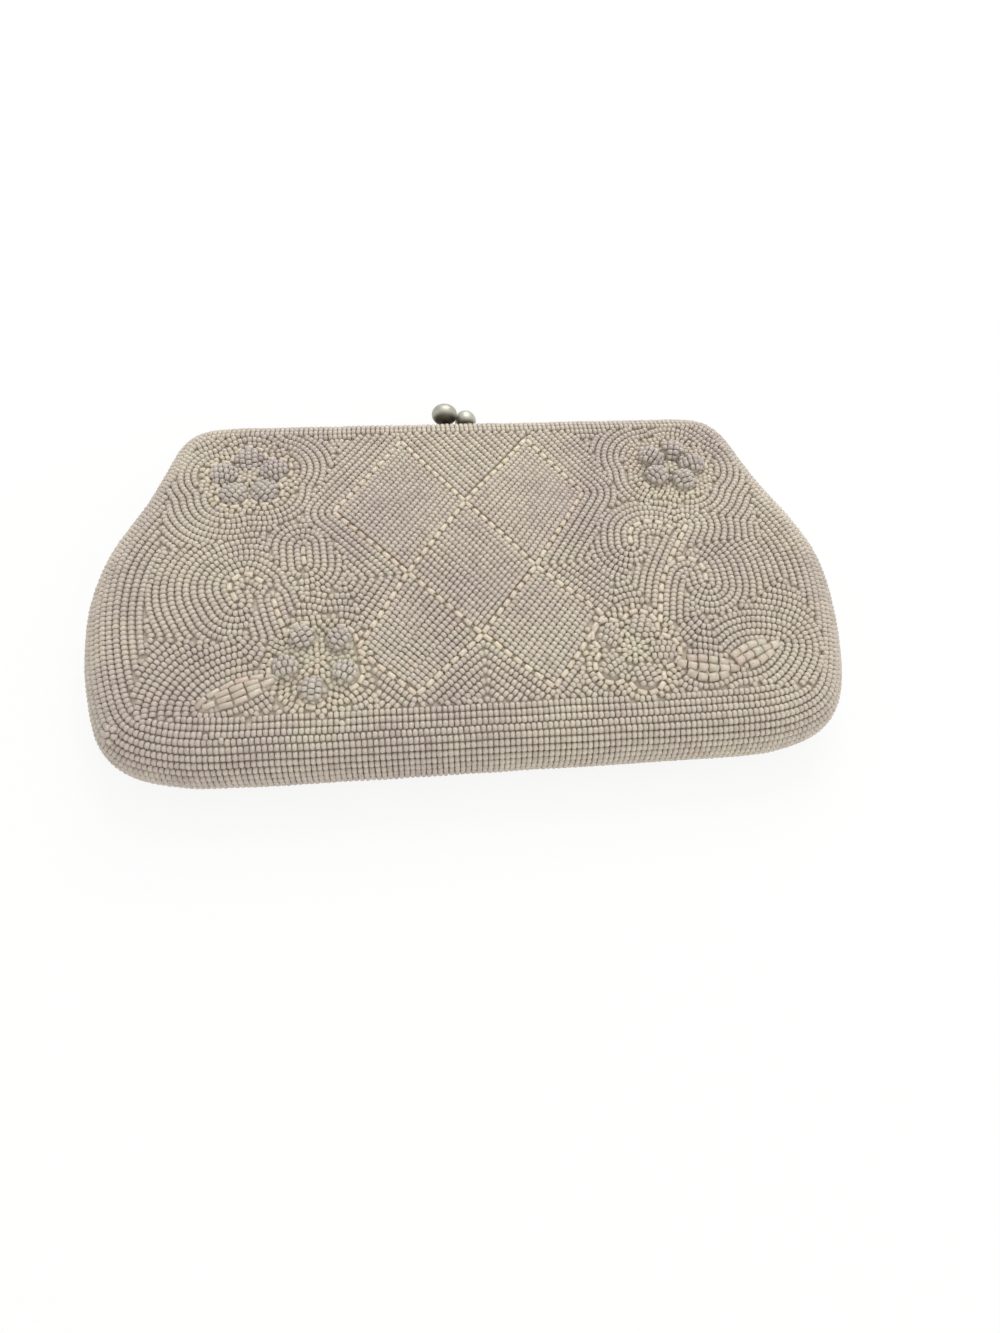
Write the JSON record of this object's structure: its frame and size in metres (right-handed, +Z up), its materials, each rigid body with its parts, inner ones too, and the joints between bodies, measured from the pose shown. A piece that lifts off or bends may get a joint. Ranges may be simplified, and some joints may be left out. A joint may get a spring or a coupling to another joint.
{
  "type": "beaded evening bag",
  "caption": "Ivory seed-bead clutch with a lattice and flower front, a hinged metal frame at the mouth and a ball clasp; lies on its back, closed.",
  "frame": {"origin": "bottom centre of the whole bag's box as it lies on its back, on the surface it rests on", "axes": "+X across the bag, to the right as seen with the clasp away; +Y from the bottom edge to the clasp; +Z up through the thickness, out of the decorated front"},
  "size_m": [0.2, 0.119, 0.0249],
  "materials": {
    "bead_cloth": "ivory seed beads sewn in rows on cloth, satin pearl",
    "raised_beadwork": "ivory seed beads over padding, satin pearl",
    "buckram": "matt stiffened cloth",
    "satin_lining": "ivory satin",
    "frame_metal": "dull nickelled steel",
    "clasp_metal": "worn silver plate, satin"
  },
  "bodies": {
    "bag_body": {"back_beaded_panel": "bead_cloth", "front_panel_fold": "bead_cloth", "front_beaded_panel_lower": "bead_cloth", "flower_lower_left": "raised_beadwork", "flower_lower_right": "raised_beadwork", "leaf_left": "raised_beadwork", "leaf_right_inner": "raised_beadwork", "leaf_right_outer": "raised_beadwork", "back_stiffener": "buckram", "front_stiffener_lower": "buckram", "back_lining": "satin_lining", "front_lining_fold": "satin_lining", "front_lining_lower": "satin_lining", "slip_pocket": "satin_lining", "back_frame": "frame_metal", "hinge_rivet_left": "frame_metal", "hinge_rivet_right": "frame_metal", "back_clasp_neck": "clasp_metal", "back_clasp_ball": "clasp_metal"},
    "front_half": {"front_beaded_panel_upper": "bead_cloth", "flower_upper_left": "raised_beadwork", "flower_upper_right": "raised_beadwork", "front_stiffener_upper": "buckram", "front_lining_upper": "satin_lining", "front_frame": "frame_metal", "front_clasp_neck": "clasp_metal", "front_clasp_ball": "clasp_metal"}
  },
  "joints": [
    {"name": "frame_hinge", "type": "hinge", "parent": "bag_body", "child": "front_half", "pos_m": [0, 0.015, 0.0105], "axis": [1, 0, 0], "range_deg": [0, 75], "deforming": ["front_panel_fold", "front_lining_fold"]}
  ]
}
